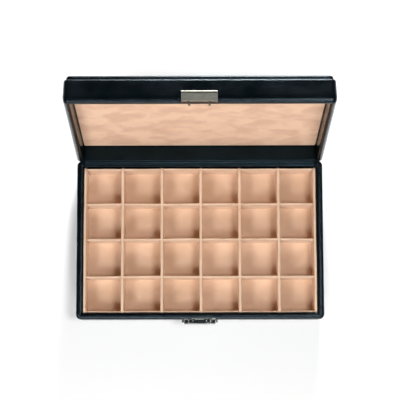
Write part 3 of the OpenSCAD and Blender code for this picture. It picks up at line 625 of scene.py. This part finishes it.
def padded_top():
    """The lid's top: leather drawn over foam, with shallow puckers where it is turned down at the corners."""
    low, high = shut_box("lid_top_leather")
    # The hide bulges a little past its solid at the two ends
    width, depth, thick = high.x - low.x + 0.8 * MM, high.y - low.y, high.z - low.z
    crown, shoulder = 1.2 * MM, 2.4 * MM
    wave, puckers = 40 * MM, 14

    def height_at(x, y, inside):
        slack = noise.fractal(Vector((x / wave, y / wave, 8.4)), 1.0, 2.0, 3)
        gx, gy = width / 2 - abs(x), depth / 2 - abs(y)
        pucker = fading(math.hypot(gx, gy), 10 * MM) * math.cos(math.atan2(gy, gx) * puckers)
        soft = ease(inside / shoulder)
        bulge = crowned(inside, thick - crown, shoulder, shoulder, crown, 40 * MM)
        return bulge + (0.15 * slack - 0.12 + 0.15 * pucker) * MM * soft

    mesh = cushion(width, depth, 4.5 * MM, height_at,
                   [0, 0.08 * MM, 0.3 * MM, 0.7 * MM, 1.3 * MM, shoulder, 4 * MM, 6 * MM, 9 * MM], 4 * MM)
    middle = (low + high) / 2
    mesh.transform(opened @ Matrix.Translation((middle.x, middle.y, low.z)))
    piece = keep_piece("leather_padded_top", mesh, LEATHER, "lid", "leather",
                       ["lid_top_leather", "lid_top_foam"])


velour_floor()
velour_pad()
padded_top()


# The leather strip that hides the hinges, from inside the base's back wall to inside the lid's

def hinge_strip():
    base_low, base_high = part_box("hinge_strip_base")
    lid_low, lid_high = shut_box("hinge_strip_lid")
    half = (base_high.x - base_low.x) / 2
    # It is drawn a little thinner than its solid, against the wall, so that the dividers reach it
    y0, y1 = base_low.y + 0.5 * MM, base_high.y
    fold = 1.2 * MM
    bead = 1.8 * MM
    # It lies a hair over the rims, and bends round the knuckles between them
    over = 0.1 * MM
    thick = 0.7 * MM
    crease_length, crease_depth = 9 * MM, 0.12 * MM

    def lid_side(y, z):
        return (opened @ Vector((0, y, z))).yz

    def bend(centre, r, start, end, steps):
        return [Vector((centre[0] + r * math.cos(a), centre[1] + r * math.sin(a)))
                for a in angles(math.radians(start), math.radians(end), steps)]

    top = RIM + over
    on_base = [Vector((y0, base_low.z + up)) for up in (0, 4 * MM, 8 * MM)]
    on_base += bend((y0 + fold, top - fold), fold, 180, 90, 4)
    on_base += [Vector((y0 + 2.2 * MM, top)), Vector((HINGE.y - bead - 0.7 * MM, top))]
    on_lid = [lid_side(p.x, 2 * HINGE.z - p.y) for p in on_base]
    on_lid[0] = lid_side(y0, lid_high.z)
    on_lid.insert(1, lid_side(y0, lid_low.z + 16 * MM))
    over_knuckles = bend((HINGE.y, HINGE.z), bead, 172, 88, 8)
    line = on_base + over_knuckles + list(reversed(on_lid))
    inner = []
    for i, point in enumerate(line):
        ahead = line[min(i + 1, len(line) - 1)] - line[max(i - 1, 0)]
        ahead.normalize()
        inner.append(point + Vector((ahead.y, -ahead.x)) * thick)
    rings = []
    count = 90
    for k in range(count + 1):
        x = half * (2 * k / count - 1)
        front = []
        for i, (point, back) in enumerate(zip(line, inner)):
            out = (point - back).normalized()
            crease = noise.fractal(Vector((x / crease_length, i * 0.55, 5.5)), 1.0, 2.0, 2)
            p = point + out * crease_depth * (crease - 0.5)
            front.append((x, p.x, p.y))
        rings.append(front + [(x, p.x, p.y) for p in reversed(inner)])
    mesh = bmesh.new()
    loft(mesh, rings)
    piece = keep_piece("leather_hinge_strip", mesh, SMOOTH_LEATHER, None, "leather",
                       ["hinge_strip_base", "hinge_strip_lid"])
    end = lid_side(y1, lid_low.z)
    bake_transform(piece)


hinge_strip()


# Lock: its stamped and turned pieces, with their edges broken

def edges_broken(node, body, material, slot, radius, lip=0):
    """The node's own shape with its sharp edges rounded off, as stamping and plating leave them.
    With lip, that much of its far end is pressed to half its height, as the finger lip is rolled tightly."""
    mesh = bmesh.new()
    mesh.from_mesh(nodes[node].data)
    if lip:
        mesh.transform(shut)
        start = max(v.co.z for v in mesh.verts) - lip
        for v in mesh.verts:
            if v.co.z > start:
                v.co.z = start + 0.5 * (v.co.z - start)
        mesh.transform(opened)
    bmesh.ops.remove_doubles(mesh, verts=mesh.verts, dist=0.002 * MM)
    bmesh.ops.dissolve_limit(mesh, angle_limit=math.radians(2), verts=mesh.verts, edges=mesh.edges)
    sharp = [e for e in mesh.edges if len(e.link_faces) == 2 and e.calc_face_angle(0) > math.radians(40)]
    bmesh.ops.bevel(mesh, geom=sharp, offset=radius, segments=2, profile=0.6, affect="EDGES",
                    clamp_overlap=True)
    keep_piece("metal_" + node, mesh, material, body, slot, [node], flats=True)


edges_broken("lid_lock_plate", "lid", NICKEL, "nickel", 0.12 * MM, lip=2.6 * MM)
edges_broken("lock_case", "base", SATIN_CHROME, "chrome", 0.18 * MM)
edges_broken("lock_top_plate", "base", DARK_STEEL, "dark_steel", 0.1 * MM)
edges_broken("lock_back_plate", "base", BRIGHT_NICKEL, "nickel", 0.1 * MM)
edges_broken("lock_eyelets", "base", BRIGHT_NICKEL, "nickel", 0.12 * MM)
edges_broken("lock_button_left", "latch_left", CHROME, "chrome", 0.25 * MM)
edges_broken("lock_button_right", "latch_right", CHROME, "chrome", 0.25 * MM)
edges_broken("lid_hooks", "lid", HOOK_STEEL, "dark_steel", 0.2 * MM)


def latch_spring(side):
    """The coil behind a button. It stays on the block in the lock's middle."""
    node = "latch_spring_" + side
    mesh = bmesh.new()
    mesh.from_mesh(nodes[node].data)
    slot = SLOT_OF[node]
    piece = keep_piece("wire_" + node, mesh, SLOTS[slot], "base", slot, [node])
    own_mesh(piece)


latch_spring("left")
latch_spring("right")


# Camera: on the middle line, well above the tray and a little in front of it

PICTURE_PX = 400
CAMERA_LENS_PX = 1289.6
CAMERA_AT = Vector((-2.2, -158.6, 1503.8)) * MM
CAMERA_TILT = math.radians(7.93)
CAMERA_ROLL = math.radians(-0.13)
CAMERA_YAW = math.radians(-0.09)

camera_data = bpy.data.cameras.new("camera")
camera_data.sensor_width = 36
camera_data.lens = CAMERA_LENS_PX / PICTURE_PX * camera_data.sensor_width
camera_data.clip_start = 0.05
camera_data.clip_end = 60
camera = bpy.data.objects.new("camera", camera_data)
turned = (Matrix.Rotation(CAMERA_TILT, 4, "X") @ Matrix.Rotation(CAMERA_YAW, 4, "Y")
          @ Matrix.Rotation(CAMERA_ROLL, 4, "Z"))
camera.matrix_world = Matrix.Translation(CAMERA_AT) @ turned
bpy.context.scene.collection.objects.link(camera)
bpy.context.scene.camera = camera


# Light: four white soft boxes, in a room with white walls and a dim ceiling

LAMP_DISTANCE = 1.6


def soft_box(name, direction, size, watts):
    """A square lamp that stands in a direction from the case's middle and shines at it."""
    data = bpy.data.lights.new(name, "AREA")
    data.shape = "SQUARE"
    data.size = size
    data.energy = watts
    lamp = bpy.data.objects.new(name, data)
    lamp.location = Vector(direction).normalized() * LAMP_DISTANCE
    lamp.rotation_euler = Vector(direction).to_track_quat("Z", "Y").to_euler()
    bpy.context.scene.collection.objects.link(lamp)


soft_box("left_box", (-0.395, -0.395, 0.829), size=0.38, watts=9.0)
soft_box("right_box", (0.27, -0.118, 0.956), size=0.34, watts=9.5)
soft_box("front_box", (0.0, -0.743, 0.669), size=0.50, watts=11.0)
soft_box("back_box", (0.08, 0.924, 0.374), size=0.32, watts=40.0)


def studio_room():
    """White walls and a dim ceiling: the walls are level with the case, the ceiling straight above it."""
    world = bpy.data.worlds.new("room")
    world.use_nodes = True
    tree = world.node_tree
    tree.nodes.clear()
    up = add(tree, "SeparateXYZ", {"Vector": add(tree, "TexCoord").outputs["Generated"]})
    dim = add(tree, "MapRange", {"Value": up.outputs["Z"], "From Min": 0.25, "From Max": 0.75,
                                 "To Min": 0.07, "To Max": 0.01}, interpolation_type="SMOOTHSTEP")
    light = add(tree, "Background", {"Color": srgb("#f6f8fa"), "Strength": dim.outputs[0]})
    add(tree, "OutputWorld", {"Surface": light.outputs[0]})
    bpy.context.scene.world = world


def pale_floor():
    """White paper: it shows as plain white, and only the shadows on it are darker."""
    material, tree, _ = new_material("white paper, matte")
    path = add(tree, "LightPath")
    seen = add(tree, "Math", {0: path.outputs["Is Camera Ray"], 1: path.outputs["Is Glossy Ray"]},
               operation="MAXIMUM")
    seen = add(tree, "Math", {0: seen.outputs[0], 1: path.outputs["Is Transmission Ray"]},
               operation="MAXIMUM")
    paper = add(tree, "BsdfDiffuse", {"Color": srgb("#ececec")})
    lift = add(tree, "Emission", {"Color": srgb("#ffffff"), "Strength": 0.1})
    bright = add(tree, "AddShader", {0: paper.outputs[0], 1: lift.outputs[0]})
    both = add(tree, "MixShader", {0: seen.outputs[0], 1: paper.outputs[0], 2: bright.outputs[0]})
    finish(tree, both)
    reach = 12
    corners = ((-reach, -reach, 0), (reach, -reach, 0), (reach, reach, 0), (-reach, reach, 0))
    mesh = bmesh.new()
    mesh.faces.new([mesh.verts.new(corner) for corner in corners])
    data = bpy.data.meshes.new("paper_floor")
    mesh.to_mesh(data)
    mesh.free()
    data.materials.append(material)
    floor = bpy.data.objects.new("paper_floor", data)
    floor.location.z = CASE_LOW.z
    bpy.context.scene.collection.objects.link(floor)


studio_room()
pale_floor()
bpy.context.scene.view_settings.view_transform = "Standard"
